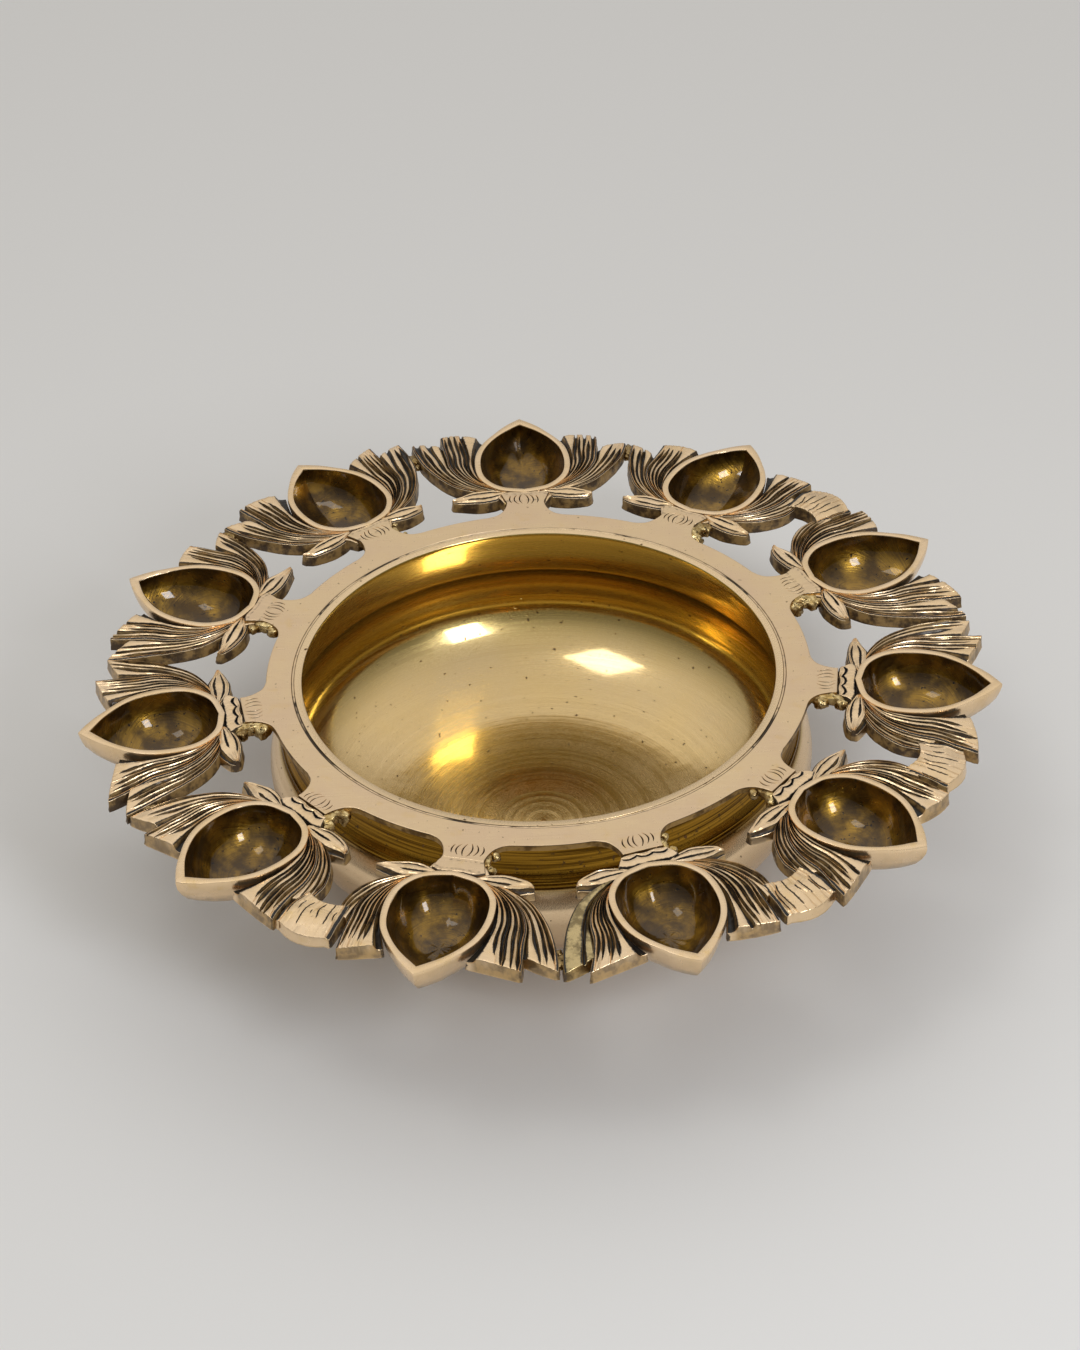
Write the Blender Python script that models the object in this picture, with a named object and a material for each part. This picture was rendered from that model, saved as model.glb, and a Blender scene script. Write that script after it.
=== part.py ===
"""Brass urli bowl: a turned bowl in a flat cast collar that carries a ring of lotus oil lamps.

Run it with: blender --background --python part.py
Metres, +Z up. The origin is the centre of the bowl's flat underside, and lamp 1 lies along +Y.
Lamps are numbered clockwise as seen from above. Every casting has its own frame: x runs
sideways (clockwise), y runs outwards from the bowl's axis, and z is the height.
"""
import math

import bmesh
import bpy
from mathutils import Matrix

MM = 0.001
GAP = 0.3                      # clearance between neighbouring castings, in mm like all sizes below

# Driving dimensions
HEIGHT = 92.0                  # underside of the bowl to the top of the collar
LAMPS = 11
PITCH = 2 * math.pi / LAMPS    # angle from one lamp to the next
BRIDGED_GAPS = (2, 4, 5, 7)    # a wide bridge plate follows each of these lamps, a braze the others
SEGMENTS = 6 * LAMPS           # facets round the bowl and round the collar's bore

# Bowl
RIM_INNER_R = 104.0
RIM_OUTER_R = 107.6
NECK_LINE_R = 111.6            # inside, where the flared neck meets the belly
NECK_LINE_DROP = 25.8
BEAD_R = 115.3
BEAD_DROP = 27.6
BELLY_R = 121.0
BELLY_DROP = 41.6
WALL = 3.0
FLOOR = 4.7
BASE_R = 36.0

# Collar
COLLAR_R = 120.0
COLLAR_THICK = 3.5
SEAM_FILL = 0.8                # width of the braze between the bowl's rim and the collar
SEAM_DEPTH = 2.6
LUG_END_R = 131.0
LUG_HALF = 8.6

# Lotus lamp
CUP_CENTRE_R = 165.0
CUP_DEPTH = 22.0
CUP_WALL = 2.6
JOINT_FILL = 1.9               # braze between a lug and its lamp
FOOT_R = LUG_END_R + JOINT_FILL + 2 * GAP
INNER_TOP, INNER_BOTTOM = 0.9, 8.2      # depths below the collar's top
OUTER_TOP, OUTER_BOTTOM = 2.1, 7.6
SEPAL_TOP, SEPAL_BOTTOM = 1.5, 6.9
FOOT_TOP, FOOT_BOTTOM = 0.6, 5.5
BRIDGE_TOP, BRIDGE_BOTTOM = 1.6, 8.0
BRAZE_TOP, BRAZE_BOTTOM = 2.8, 7.0


def clear_scene():
    for old in list(bpy.data.objects):
        bpy.data.objects.remove(old, do_unlink=True)


def brass(name, colour, roughness):
    """A Principled brass in one of its finishes."""
    material = bpy.data.materials.new(name)
    material.use_nodes = True
    shader = material.node_tree.nodes["Principled BSDF"]
    shader.inputs["Base Color"].default_value = (*colour, 1.0)
    shader.inputs["Roughness"].default_value = roughness
    shader.inputs["Metallic"].default_value = 1.0
    material.diffuse_color = (*colour, 1.0)
    return material


def smooth_run(points, steps):
    """A Catmull-Rom curve through the points, both ends included."""
    ends = [points[0], *points, points[-1]]
    run = []
    for a, b, c, d in zip(ends, ends[1:], ends[2:], ends[3:]):
        for step in range(steps):
            t = step / steps
            run.append(tuple(
                0.5 * (2 * q + (r - p) * t + (2 * p - 5 * q + 4 * r - s) * t ** 2
                       + (3 * q - p - 3 * r + s) * t ** 3)
                for p, q, r, s in zip(a, b, c, d)))
    run.append(points[-1])
    return run


def mirrored(half):
    """A closed outline from its right half, whose first and last points lie on x = 0."""
    left = [(-x, y) for x, y in reversed(half) if x > 1e-6]
    return half + left


def clockwise(angle):
    """The turn that takes a casting's own frame to an angle clockwise from +Y."""
    return -angle


def add_object(name, bm, material, angle=0.0):
    """Finish a bmesh that holds millimetres: metres, outward faces, smooth round stretches."""
    bmesh.ops.recalc_face_normals(bm, faces=bm.faces)
    bmesh.ops.transform(bm, matrix=Matrix.Scale(MM, 4), verts=bm.verts)
    mesh = bpy.data.meshes.new(name)
    bm.to_mesh(mesh)
    bm.free()
    mesh.materials.append(material)
    return place(name, mesh, angle)


def place(name, mesh, angle):
    mesh.shade_smooth()
    mesh.set_sharp_from_angle(angle=math.radians(35))
    item = bpy.data.objects.new(name, mesh)
    item.rotation_euler.z = clockwise(angle)
    bpy.context.scene.collection.objects.link(item)
    return item


def plates(outlines, bottom_drop, top_drop):
    """Flat plates from closed outlines, between two depths below the collar's top."""
    bm = bmesh.new()
    for outline in outlines:
        rim = [bm.verts.new((x, y, HEIGHT - bottom_drop)) for x, y in outline]
        face = bm.faces.new(rim)
        lifted = bmesh.ops.extrude_face_region(bm, geom=[face])
        moved = [part for part in lifted["geom"] if isinstance(part, bmesh.types.BMVert)]
        bmesh.ops.translate(bm, verts=moved, vec=(0, 0, bottom_drop - top_drop))
    return bm


def turned(profile):
    """A closed (radius, height) profile spun round the bowl's axis."""
    bm = bmesh.new()
    ring = [bm.verts.new((radius, 0, height)) for radius, height in profile]
    closed = zip(ring, ring[1:] + ring[:1])
    edges = [bm.edges.new(pair) for pair in closed if pair[0].co.x or pair[1].co.x]
    bmesh.ops.spin(bm, geom=ring + edges, axis=(0, 0, 1), cent=(0, 0, 0),
                   angle=2 * math.pi, steps=SEGMENTS, use_merge=True)
    bmesh.ops.remove_doubles(bm, verts=bm.verts, dist=1e-4)
    return bm


def quarter(centre_r, top, reach, drop, steps):
    """A quarter ellipse from its widest point down to its lowest one, as (radius, height)."""
    angles = [math.pi / 2 * step / steps for step in range(steps + 1)]
    return [(centre_r + reach * math.cos(a), top - drop * math.sin(a)) for a in angles]


# Bowl, collar and the braze between them

def bowl(material):
    belly = HEIGHT - BELLY_DROP
    shelf = HEIGHT - COLLAR_THICK - GAP
    bead = HEIGHT - BEAD_DROP
    outside = [(RIM_OUTER_R, HEIGHT), (RIM_OUTER_R, shelf)]
    outside += [(110.0, shelf), (110.2, 82.0), (110.9, 76.0), (112.4, 70.5), (114.8, bead + 1.7)]
    outside += [(BEAD_R - 1.1, bead + 0.9), (BEAD_R, bead), (BEAD_R - 0.6, bead - 1.0)]
    outside += smooth_run([(116.0, bead - 2.4), (119.6, 57.0), (BELLY_R, belly)], 2)[:-1]
    outside += quarter(BASE_R, belly, BELLY_R - BASE_R, belly, 7)
    inside = quarter(BASE_R - 4.0, belly, BELLY_R - WALL - BASE_R + 4.0, belly - FLOOR, 7)[::-1]
    inside += [(115.9, 59.5), (NECK_LINE_R, HEIGHT - NECK_LINE_DROP)]
    inside += [(RIM_INNER_R + 0.6, HEIGHT - 2.6), (RIM_INNER_R, HEIGHT - 0.5), (RIM_INNER_R + 0.5, HEIGHT)]
    profile = outside + [(0.0, 0.0), (0.0, FLOOR)] + inside
    return add_object("bowl", turned(profile), material)


def collar_bore():
    return RIM_OUTER_R + SEAM_FILL + 2 * GAP


def rim_braze(material):
    """The ring of filler in the seam between the bowl's rim and the collar."""
    inner, outer = RIM_OUTER_R + GAP, RIM_OUTER_R + GAP + SEAM_FILL
    top, bottom = HEIGHT - GAP, HEIGHT - SEAM_DEPTH
    profile = [(inner, top), (outer, top), (outer, bottom), (inner, bottom)]
    return add_object("rim_braze", turned(profile), material)


def collar(material):
    """The flat ring with a flared lug for each lamp."""
    flare = [(17.0, math.sqrt(COLLAR_R ** 2 - 17.0 ** 2)), (13.0, 120.9), (10.6, 124.0),
             (9.1, 128.0), (LUG_HALF, LUG_END_R)]
    lug = [(-x, y) for x, y in flare] + flare[::-1]
    reach = math.atan2(*flare[0])
    arc_steps = 4
    outline = []
    for lamp in range(LAMPS):
        azimuth = lamp * PITCH
        for x, y in lug:
            angle = math.atan2(x, y) + azimuth
            outline.append((math.hypot(x, y) * math.sin(angle), math.hypot(x, y) * math.cos(angle)))
        for step in range(1, arc_steps):
            angle = azimuth + reach + (PITCH - 2 * reach) * step / arc_steps
            outline.append((COLLAR_R * math.sin(angle), COLLAR_R * math.cos(angle)))
    ring = add_object("collar_ring", plates([outline], COLLAR_THICK, 0.0), material)

    radius = collar_bore()
    disc = [(radius, HEIGHT + 5), (radius, HEIGHT - COLLAR_THICK - 5), (0.0, HEIGHT - COLLAR_THICK - 5),
            (0.0, HEIGHT + 5)]
    return carved(ring, "DIFFERENCE", [add_object("collar_bore", turned(disc), material)])


def carved(item, operation, tools):
    """Join or cut with other objects, keep the result as the mesh, and drop the tools."""
    for tool in tools:
        step = item.modifiers.new(tool.name, "BOOLEAN")
        step.operation = operation
        step.solver = "EXACT"
        step.object = tool
    bpy.context.view_layer.update()
    done = item.evaluated_get(bpy.context.evaluated_depsgraph_get())
    mesh = bpy.data.meshes.new_from_object(done)
    mesh.name = item.name
    item.modifiers.clear()
    item.data = mesh
    for tool in tools:
        bpy.data.objects.remove(tool, do_unlink=True)
    return item


# Lotus lamps

def cup_outline(wall):
    """The lamp's teardrop, its bottom towards the bowl and its point outwards."""
    half = smooth_run([(0.0, 141.6), (11.0, 144.6), (18.0, 152.5), (20.0, 163.0), (18.8, 174.0),
                       (15.0, 182.5), (8.6, 190.5), (0.0, 197.6)], 2)
    grown = []
    for x, y in half:
        reach = math.hypot(x, y - CUP_CENTRE_R)
        tip = 1.0 + 0.75 * max(0.0, (y - 190.0) / 7.6)
        scale = 1 + wall * tip / reach
        grown.append((x * scale, CUP_CENTRE_R + (y - CUP_CENTRE_R) * scale))
    return mirrored(grown)


def cup_form(wall, depth, lid):
    """A closed rounded body under the teardrop, its lid at a height above the collar's top."""
    outline = cup_outline(wall)
    levels = [(0.0, 1.0)] + [
        (depth * math.sin(a), math.cos(a) ** 0.8) for a in (math.radians(d) for d in (27, 53, 75))]
    if lid > 0:
        levels.insert(0, (-lid, 1.0))
    bm = bmesh.new()
    rings = [[bm.verts.new((x * scale, CUP_CENTRE_R + (y - CUP_CENTRE_R) * scale, HEIGHT - drop))
              for x, y in outline] for drop, scale in levels]
    for upper, lower in zip(rings, rings[1:]):
        for i in range(len(upper)):
            j = (i + 1) % len(upper)
            bm.faces.new((upper[i], upper[j], lower[j], lower[i]))
    bm.faces.new(rings[0])
    floor = bm.verts.new((0, CUP_CENTRE_R, HEIGHT - depth))
    for i, corner in enumerate(rings[-1]):
        bm.faces.new((corner, rings[-1][(i + 1) % len(outline)], floor))
    return bm


def both_sides(outline):
    return [outline, [(-x, y) for x, y in reversed(outline)]]


def inner_petal():
    edge = smooth_run([(9.0, 142.0), (21.0, 147.5), (31.0, 156.0), (37.0, 167.0), (40.2, 182.0),
                       (39.6, 193.2)], 2)
    return edge + [(31.0, 191.4), (20.5, 188.0), (12.0, 184.0)]


def outer_petal():
    edge = smooth_run([(12.0, 141.0), (26.0, 145.5), (34.5, 151.5), (42.0, 161.0), (47.3, 172.5),
                       (51.5, 185.6)], 2)
    return edge + [(42.0, 185.8), (34.0, 180.0), (20.0, 162.0), (11.0, 146.0)]


def sepal():
    edge = smooth_run([(7.0, 139.4), (16.0, 136.2), (26.0, 134.8), (37.6, 138.4)], 2)
    return edge + smooth_run([(36.8, 141.6), (26.0, 146.0), (11.0, 144.4)], 2)


def foot():
    return mirrored([(0.0, FOOT_R), (8.4, FOOT_R), (12.0, 136.6), (12.4, 141.0), (0.0, 143.0)])


def bridge_outline():
    """The plate between two lamps, in the frame halfway between them: arched towards the bowl."""
    return mirrored([(0.0, 174.4), (5.0, 172.6), (8.4, 169.6), (10.4, 180.0), (12.3, 189.8),
                     (6.0, 193.4), (0.0, 194.4)])


def bridge_room():
    """What a lamp leaves free for a bridge plate: its outline, a gap wider and open outwards."""
    wide = GAP * 1.1
    return mirrored([(0.0, 174.4 - wide), (5.0, 172.6 - wide), (8.4 + wide, 169.6 - 1.5 * wide),
                     (10.4 + wide, 180.0), (12.3 + wide, 189.8), (13.6 + wide, 215.0), (0.0, 215.0)])


def turned_outline(outline, angle):
    """An outline moved to another casting's frame, at an angle clockwise from its own."""
    s, c = math.sin(angle), math.cos(angle)
    return [(x * c + y * s, y * c - x * s) for x, y in outline]


def lotus_mesh(material, bridged_sides):
    """One lamp casting: the cup, two layers of petals, two sepals and the foot."""
    body = add_object("lotus_cup", cup_form(CUP_WALL, CUP_DEPTH, 0.0), material)
    sheets = [(both_sides(inner_petal()), INNER_BOTTOM, INNER_TOP),
              (both_sides(outer_petal()), OUTER_BOTTOM, OUTER_TOP),
              (both_sides(sepal()), SEPAL_BOTTOM, SEPAL_TOP),
              ([foot()], FOOT_BOTTOM, FOOT_TOP)]
    layers = [add_object("lotus_layer", plates(*sheet), material) for sheet in sheets]
    carved(body, "UNION", layers)
    cutters = [add_object("lotus_hollow", cup_form(0.0, CUP_DEPTH - CUP_WALL, 5.0), material)]
    for side in bridged_sides:
        outline = turned_outline(bridge_room(), side * PITCH / 2)
        cutters.append(add_object("bridge_room", plates([outline], 30.0, -30.0), material))
    carved(body, "DIFFERENCE", cutters)
    mesh = body.data
    bpy.data.objects.remove(body, do_unlink=True)
    return mesh


def lotuses(material):
    """Castings with the same bridged sides share a mesh."""
    castings = {}
    for lamp in range(1, LAMPS + 1):
        before = lamp - 1 or LAMPS
        sides = tuple(side for side, gap in ((-1, before), (1, lamp)) if gap in BRIDGED_GAPS)
        if sides not in castings:
            castings[sides] = lotus_mesh(material, sides)
        place(f"lotus_{lamp:02d}", castings[sides], (lamp - 1) * PITCH)


# Joints between the castings

def joints(plate_material, filler_material):
    """A bridge plate or a bead of braze between each two lamps, and the braze on each lug."""
    bead = mirrored([(0.0, 182.4), (2.1, 183.2), (2.4, 187.5), (2.1, 192.0), (0.0, 193.0)])
    strip_low, strip_high = LUG_END_R + GAP, FOOT_R - GAP
    lug_fill = [(-LUG_HALF, strip_low), (LUG_HALF, strip_low), (9.8, 127.6), (12.2, 128.6),
                (13.2, 131.4), (11.4, strip_high), (-LUG_HALF, strip_high)]
    for lamp in range(1, LAMPS + 1):
        after = lamp % LAMPS + 1
        azimuth = (lamp - 1) * PITCH
        pair = f"{lamp:02d}_{after:02d}"
        if lamp in BRIDGED_GAPS:
            bm = plates([bridge_outline()], BRIDGE_BOTTOM, BRIDGE_TOP)
            add_object(f"bridge_plate_{pair}", bm, plate_material, azimuth + PITCH / 2)
        else:
            bm = plates([bead], BRAZE_BOTTOM, BRAZE_TOP)
            add_object(f"petal_braze_{pair}", bm, filler_material, azimuth + PITCH / 2)
        bm = plates([lug_fill], FOOT_BOTTOM - 1.0, FOOT_TOP)
        add_object(f"lug_braze_{lamp:02d}", bm, filler_material, azimuth)


clear_scene()
petal_brass = brass("lotus_brass", (0.62, 0.47, 0.30), 0.42)
filler = brass("braze_filler", (0.85, 0.66, 0.30), 0.38)
bowl(brass("bowl_brass", (0.72, 0.50, 0.20), 0.22))
collar(brass("collar_brass", (0.74, 0.58, 0.40), 0.36))
rim_braze(filler)
lotuses(petal_brass)
joints(petal_brass, filler)
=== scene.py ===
"""Looks of the brass urli bowl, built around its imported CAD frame.

Every piece is cast brass. A casting's own frame has x sideways (clockwise seen from above), y outwards
from the bowl's axis and z up; sizes inside the shape functions are millimetres.
"""
import math
import random

import bmesh
import bpy
from mathutils import Matrix, Vector, noise

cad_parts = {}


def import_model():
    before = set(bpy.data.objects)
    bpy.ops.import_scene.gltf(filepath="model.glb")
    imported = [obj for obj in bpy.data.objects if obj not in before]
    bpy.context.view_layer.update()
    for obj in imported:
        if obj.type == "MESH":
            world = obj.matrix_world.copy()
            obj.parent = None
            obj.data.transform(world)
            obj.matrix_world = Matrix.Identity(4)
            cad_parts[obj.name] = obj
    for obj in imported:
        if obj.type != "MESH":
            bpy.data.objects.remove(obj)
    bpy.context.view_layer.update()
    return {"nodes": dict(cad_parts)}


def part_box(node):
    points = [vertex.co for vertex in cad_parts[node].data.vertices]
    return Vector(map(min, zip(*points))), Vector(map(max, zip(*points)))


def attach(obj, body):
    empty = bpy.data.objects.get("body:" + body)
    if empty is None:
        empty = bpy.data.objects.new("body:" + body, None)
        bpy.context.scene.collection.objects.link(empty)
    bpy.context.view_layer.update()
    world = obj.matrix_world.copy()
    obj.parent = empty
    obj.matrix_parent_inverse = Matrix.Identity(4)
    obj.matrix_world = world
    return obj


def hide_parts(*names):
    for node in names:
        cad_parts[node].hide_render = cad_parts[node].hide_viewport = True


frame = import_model()

MM = 0.001
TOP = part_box("collar_ring")[1].z / MM          # the plane that the collar and the cups' rims are filed to
LAMPS = sum(name.startswith("lotus_") for name in frame["nodes"])
PITCH = 2 * math.pi / LAMPS
BRIDGES = [name for name in frame["nodes"] if name.startswith("bridge_plate_")]
BRIDGED = {int(name.split("_")[2]) for name in BRIDGES}     # a bridge plate follows each of these lamps
BELLY_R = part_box("bowl")[1].x / MM
RIM_OUTER_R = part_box("rim_braze")[1].x / MM - 1.1
CUP_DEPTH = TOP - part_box("lotus_01")[0].z / MM
OUTSIDE = 0.3                                  # the patina value that marks the outside of the bowl
HOLLOW = 2.0                                   # and the inside of a cup
WORN = 3.0                                     # added to the patina of a petal whose engraving is worn away


# ---- shape tools

def lerp(a, b, t):
    return a + (b - a) * t


def mix(p, q, t):
    return tuple(lerp(a, b, t) for a, b in zip(p, q))


def smoothstep(low, high, value):
    t = min(1.0, max(0.0, (value - low) / (high - low)))
    return t * t * (3 - 2 * t)


def catmull(a, b, c, d, t):
    return tuple(0.5 * (2 * q + (r - p) * t + (2 * p - 5 * q + 4 * r - s) * t ** 2
                        + (3 * q - p - 3 * r + s) * t ** 3) for p, q, r, s in zip(a, b, c, d))


def curve(points):
    """A function of t in 0..1 that runs smoothly through the points at an even pace."""
    ends = [mix(points[0], points[1], -0.5), *points, mix(points[-1], points[-2], -0.5)]
    fine = [catmull(*ends[i:i + 4], step / 12) for i in range(len(points) - 1) for step in range(12)]
    fine.append(points[-1])
    reach = [0.0]
    for p, q in zip(fine, fine[1:]):
        reach.append(reach[-1] + math.dist(p, q))

    def at(t):
        goal = min(1.0, max(0.0, t)) * reach[-1]
        k = next((i for i in range(1, len(reach)) if reach[i] >= goal), len(reach) - 1)
        span = reach[k] - reach[k - 1] or 1.0
        return mix(fine[k - 1], fine[k], (goal - reach[k - 1]) / span)
    return at


def polar(angle, size):
    """The point at an angle clockwise from +Y."""
    return size * math.sin(angle), size * math.cos(angle)


def wobble(x, y, z, scale, seed=0.0):
    """Smooth noise in -1..1 whose features are about `scale` mm."""
    return noise.noise(Vector((x / scale + seed, y / scale - seed, z / scale + 0.37 * seed)))


def shade(mesh, degrees):
    """Smooth shading, broken at edges that turn by more than the angle."""
    mesh.shade_smooth()
    mesh.set_sharp_from_angle(angle=math.radians(degrees))


class Casting:
    """Gathers closed shells in mm, with a patina value per vertex, and makes them one mesh."""

    def __init__(self):
        self.verts, self.faces, self.patina = [], [], []

    def add(self, points, patina):
        first = len(self.verts)
        self.verts += points
        self.patina += patina if isinstance(patina, list) else [patina] * len(points)
        return list(range(first, first + len(points)))

    def strip(self, upper, lower):
        """Quads between two closed rings of the same length."""
        count = len(upper)
        for i in range(count):
            j = (i + 1) % count
            self.faces.append((upper[i], upper[j], lower[j], lower[i]))

    def skin(self, rings):
        """Quads from each ring to the next."""
        for lower, upper in zip(rings, rings[1:]):
            self.strip(upper, lower)

    def mirror(self):
        other = Casting()
        other.verts = [(-x, y, z) for x, y, z in self.verts]
        other.faces = [tuple(reversed(face)) for face in self.faces]
        other.patina = list(self.patina)
        return other

    def join(self, other):
        first = len(self.verts)
        self.verts += other.verts
        self.patina += other.patina
        self.faces += [tuple(first + i for i in face) for face in other.faces]

    def mesh(self, name, sharp=38):
        mesh = bpy.data.meshes.new(name)
        mesh.from_pydata([Vector(v) * MM for v in self.verts], [], self.faces)
        layer = mesh.attributes.new("patina", "FLOAT", "POINT")
        layer.data.foreach_set("value", self.patina)
        mesh.validate()
        shells = bmesh.new()
        shells.from_mesh(mesh)
        bmesh.ops.recalc_face_normals(shells, faces=shells.faces)
        shells.to_mesh(mesh)
        shells.free()
        shade(mesh, sharp)
        return mesh


def outward(loop):
    """Unit normals in the plane at each point of a closed counter-clockwise loop."""
    normals = []
    for before, after in zip(loop[-1:] + loop[:-1], loop[1:] + loop[:1]):
        dx, dy = after[0] - before[0], after[1] - before[1]
        size = math.hypot(dx, dy) or 1.0
        normals.append((dy / size, -dx / size))
    return normals


def wall(casting, rim, bottom):
    """The edge of a plate: rounded over at the top, rough down the side. Returns its lowest ring.

    Sides that face outwards were filed and stay clean; the others keep their dark casting skin.
    """
    loop = [casting.verts[i] for i in rim]
    area = sum(p[0] * q[1] - q[0] * p[1] for p, q in zip(loop, loop[1:] + loop[:1]))
    turn = 1 if area > 0 else -1
    normals = [(nx * turn, ny * turn) for nx, ny in outward(loop)]
    skin = [lerp(0.95, 0.15, smoothstep(0.35, 0.8, ny)) for _, ny in normals]
    low = min(z for _, _, z in loop)
    # (outwards, share of the way down, drop in mm, darkening); a level has a share or a drop
    levels = [(0.20, None, 0.10, 0.15), (0.38, None, 0.42, 0.6), (0.45, 0.3, None, 1.0),
              (0.75, 0.75, None, 0.9), (0.85, 0.96, None, 0.7), (-0.3, 1.0, None, 0.7)]
    above = rim
    for grow, share, drop, darkening in levels:
        ring = []
        for (x, y, z), (nx, ny) in zip(loop, normals):
            height = z - drop if drop is not None else lerp(low - 0.5, bottom, share)
            push = grow + (0.14 * wobble(x, y, height, 2.2) if share else 0.0)
            ring.append((x + nx * push, y + ny * push, height))
        lower = casting.add(ring, [value * darkening for value in skin])
        casting.strip(above, lower)
        above = lower
    return above


def close_under(casting, ring, across, rows):
    """Close a plate underneath with a grid that hangs from the ring that follows its rim."""
    grid = [ring[:across + 1]]
    for row in range(1, rows):
        left, right = ring[2 * across + 2 * rows - row], ring[across + row]
        ends = casting.verts[left], casting.verts[right]
        inner = casting.add([mix(*ends, step / across) for step in range(1, across)], casting.patina[left])
        grid.append([left, *inner, right])
    grid.append(ring[across + rows:2 * across + rows + 1][::-1])
    for near, far in zip(grid, grid[1:]):
        for i in range(across):
            casting.faces.append((near[i + 1], near[i], far[i], far[i + 1]))


class Groove:
    """One engraved line: its place across the patch, its width, depth and the stretch it covers."""

    def __init__(self, centre, half, depth, start, end, seed, bulge=0.0, wave=(0.0, 0), hook=0.0):
        self.centre, self.half, self.depth = centre, half, depth
        self.start, self.end, self.seed = start, end, seed
        self.bulge, self.wave, self.hook = bulge, wave, hook

    def at(self, t):
        """(centre, half width, depth) at t along the patch."""
        inside = min(smoothstep(self.start, self.start + 0.16, t),
                     1 - smoothstep(self.end - 0.13, self.end, t))
        width = self.half * (0.9 + 0.5 * noise.noise(Vector((self.seed * 9.1, t * 5.5, 0.0))))
        centre = self.centre + 0.42 * self.half * noise.noise(Vector((self.seed * 3.3, t * 4.2, 5.0)))
        share = min(1.0, max(0.0, (t - self.start) / (self.end - self.start)))
        centre += self.bulge * math.sin(math.pi * share)
        centre += self.wave[0] * (abs(math.sin(math.pi * self.wave[1] * t)) - 0.5)
        turned = self.hook * smoothstep(0.66, 1.08, t)
        centre += turned * (1.04 - centre)
        width *= 1 - 0.6 * turned
        return centre, max(width * (0.12 + 0.88 * inside), 0.002), self.depth * inside ** 0.7


# places across a groove, from -1 to 1, with the share of its depth and its patina, and the same for a
# valley from a plate's edge inwards
GROOVE_PROFILE = ((-1.0, 0.14, 0.45), (-0.74, 0.64, 0.9), (-0.36, 0.97, 1.0), (0.12, 1.0, 1.0),
                  (0.55, 0.76, 1.0), (0.84, 0.36, 0.85), (1.0, 0.14, 0.45))
VALLEY_PROFILE = ((0.0, 1.0, 1.0), (0.035, 1.05, 1.0), (0.085, 0.86, 1.0), (0.115, 0.36, 1.0),
                  (0.13, 0.05, 0.4))
NARROWEST = 0.004                              # the least share of a plate's width between two columns


def ridge(first, last):
    """Columns that round over the metal left between two grooves."""
    return [(lerp(first, last, 0.16), 0.14, 0.16), (lerp(first, last, 0.5), -0.16, 0.0),
            (lerp(first, last, 0.84), 0.14, 0.16)]


def patch(left, right, grooves, top, bottom, rows=56, dome=0.35, crest=None, valley=0.0, bow=0.0):
    """A plate between two curves whose grooves flow along them, as a closed shell.

    `valley` sinks the left edge, next to what the plate grows out of. `crest(s, t)` adds height.
    `bow` rounds the far end outwards.
    """
    casting = Casting()
    lines = []
    for row in range(rows + 1):
        t = row / rows
        a, b = left(t), right(t)
        columns = [(0.0, 0.25, 0.9), (0.05, 0.04, 0.45)]
        if valley:
            wide = 1 + 0.45 * smoothstep(0.5, 1.0, t) + 0.25 * wobble(t * 20, top, rows, 4.0)
            columns = [(place * wide, valley * share, stain) for place, share, stain in VALLEY_PROFILE]
        for centre, half, depth in (groove.at(t) for groove in grooves):
            columns += ridge(columns[-1][0], centre - half)
            columns += [(centre + place * half, depth * share, stain * min(1.0, depth * 1.4))
                        for place, share, stain in GROOVE_PROFILE]
        columns += ridge(columns[-1][0], 0.95)
        columns += [(0.96, 0.04, 0.3), (1.0, 0.3, 0.85)]
        points, stains, reach = [], [], -NARROWEST
        for index, (s, depth, stain) in enumerate(columns):
            room = (len(columns) - 1 - index) * NARROWEST
            s = reach = min(max(s, reach + NARROWEST), 1.0 - room)
            x, y = mix(a, b, s)
            y += bow * 4 * s * (1 - s) * t ** 6
            height = top - depth - dome * (2 * s - 1) ** 2
            if crest:
                height += crest(s, t)
            height += (0.10 + 0.16 * stain) * wobble(x, y, 0.0, 1.3, 3.0)
            points.append((x, y, height))
            stains.append(min(1.0, stain))
        lines.append(casting.add(points, stains))
    for low, high in zip(lines, lines[1:]):
        for i in range(len(low) - 1):
            casting.faces.append((low[i], low[i + 1], high[i + 1], high[i]))
    rim = (lines[0][:-1] + [line[-1] for line in lines[:-1]]
           + lines[-1][:0:-1] + [line[0] for line in lines[:0:-1]])
    close_under(casting, wall(casting, rim, bottom), len(lines[0]) - 1, rows)
    return casting


# ---- lotus lamp

CUP_CENTRE = 165.0
CUP_HALF = [(0.0, 141.6), (11.0, 144.6), (18.0, 152.5), (20.0, 163.0), (18.8, 174.0),
            (15.0, 182.5), (8.6, 190.5), (0.0, 197.6)]
CUP_WALL = 2.9
CUP_FLOOR = 2.4

FUSED = "fused"                                # a foot that lies low, under filed filler
LOBED = "lobed"                                # a foot with a scalloped edge

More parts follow.
